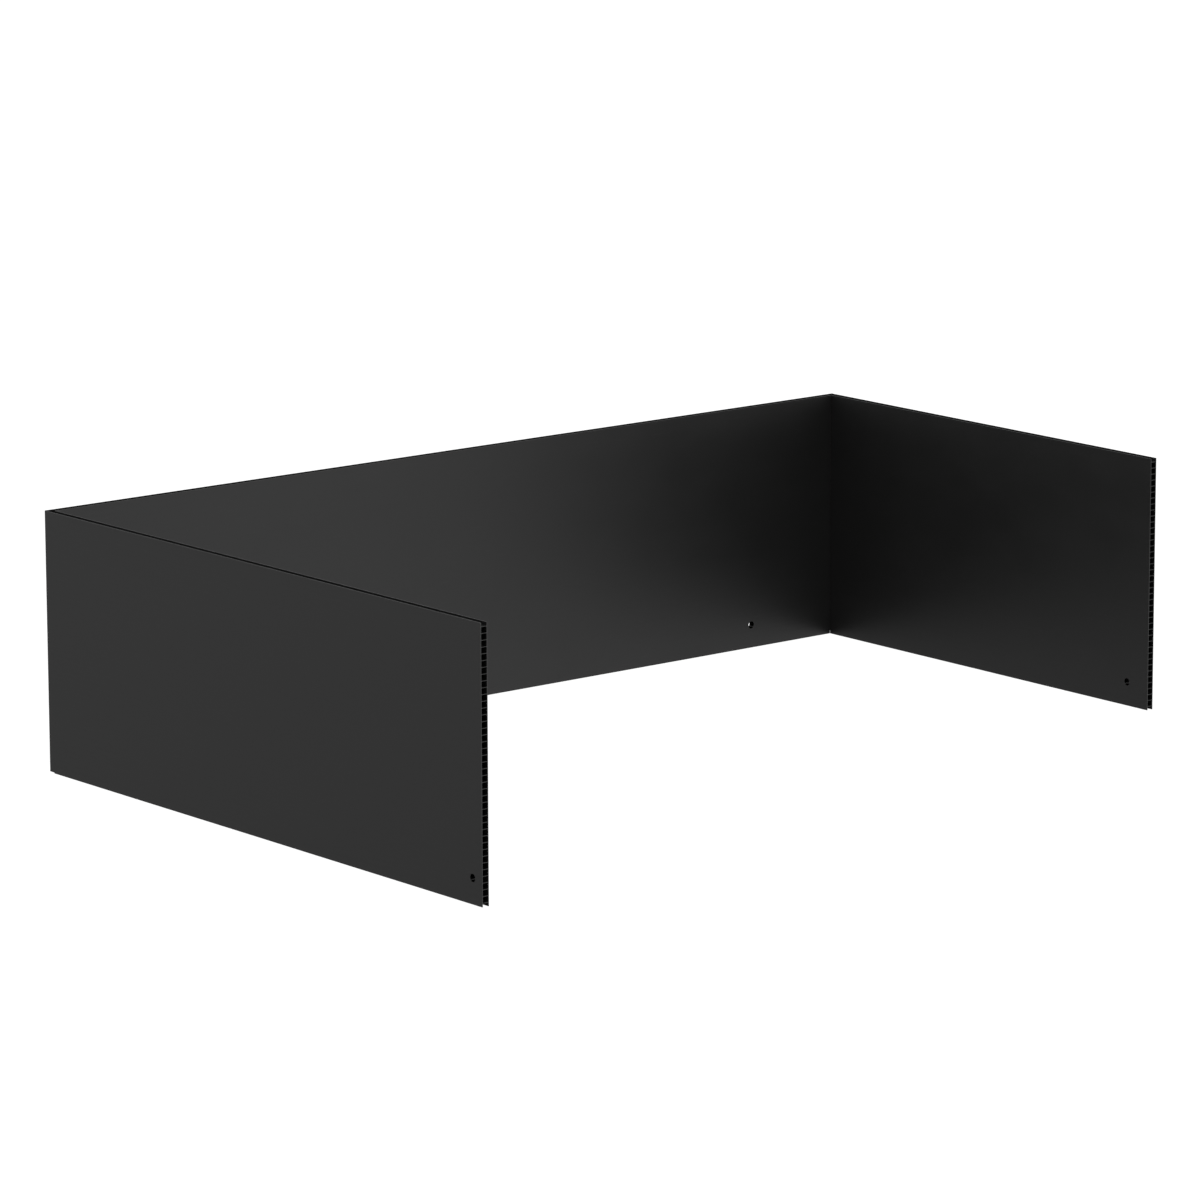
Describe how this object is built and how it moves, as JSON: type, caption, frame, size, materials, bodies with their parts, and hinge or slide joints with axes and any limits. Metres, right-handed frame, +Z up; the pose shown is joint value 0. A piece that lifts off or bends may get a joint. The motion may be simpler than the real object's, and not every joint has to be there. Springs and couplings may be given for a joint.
{
  "type": "fireplace screen",
  "caption": "Low three-sided fireplace screen of black fluted plastic board, open at the front; its side walls fold out flat on living hinges.",
  "frame": {"origin": "centre of the base of the bounding box, on the surface that the walls stand on", "axes": "+X along the back wall to the right as seen from the open front, +Y from the open front to the back wall, +Z up"},
  "size_m": [1.32, 0.884, 0.338],
  "materials": {
    "fluted_board": "satin black, extruded",
    "folded_skin": "satin black, creased"
  },
  "bodies": {
    "back": {"back_wall": "fluted_board", "left_fold_hinge": "folded_skin", "right_fold_hinge": "folded_skin"},
    "left_side": {"left_wall": "fluted_board"},
    "right_side": {"right_wall": "fluted_board"}
  },
  "joints": [
    {"name": "left_fold", "type": "hinge", "parent": "back", "child": "left_side", "pos_m": [-0.659, 0.441, 0.169], "axis": [0, 0, -1], "range_deg": [0, 90]},
    {"name": "right_fold", "type": "hinge", "parent": "back", "child": "right_side", "pos_m": [0.659, 0.441, 0.169], "axis": [0, 0, 1], "range_deg": [0, 90]}
  ]
}
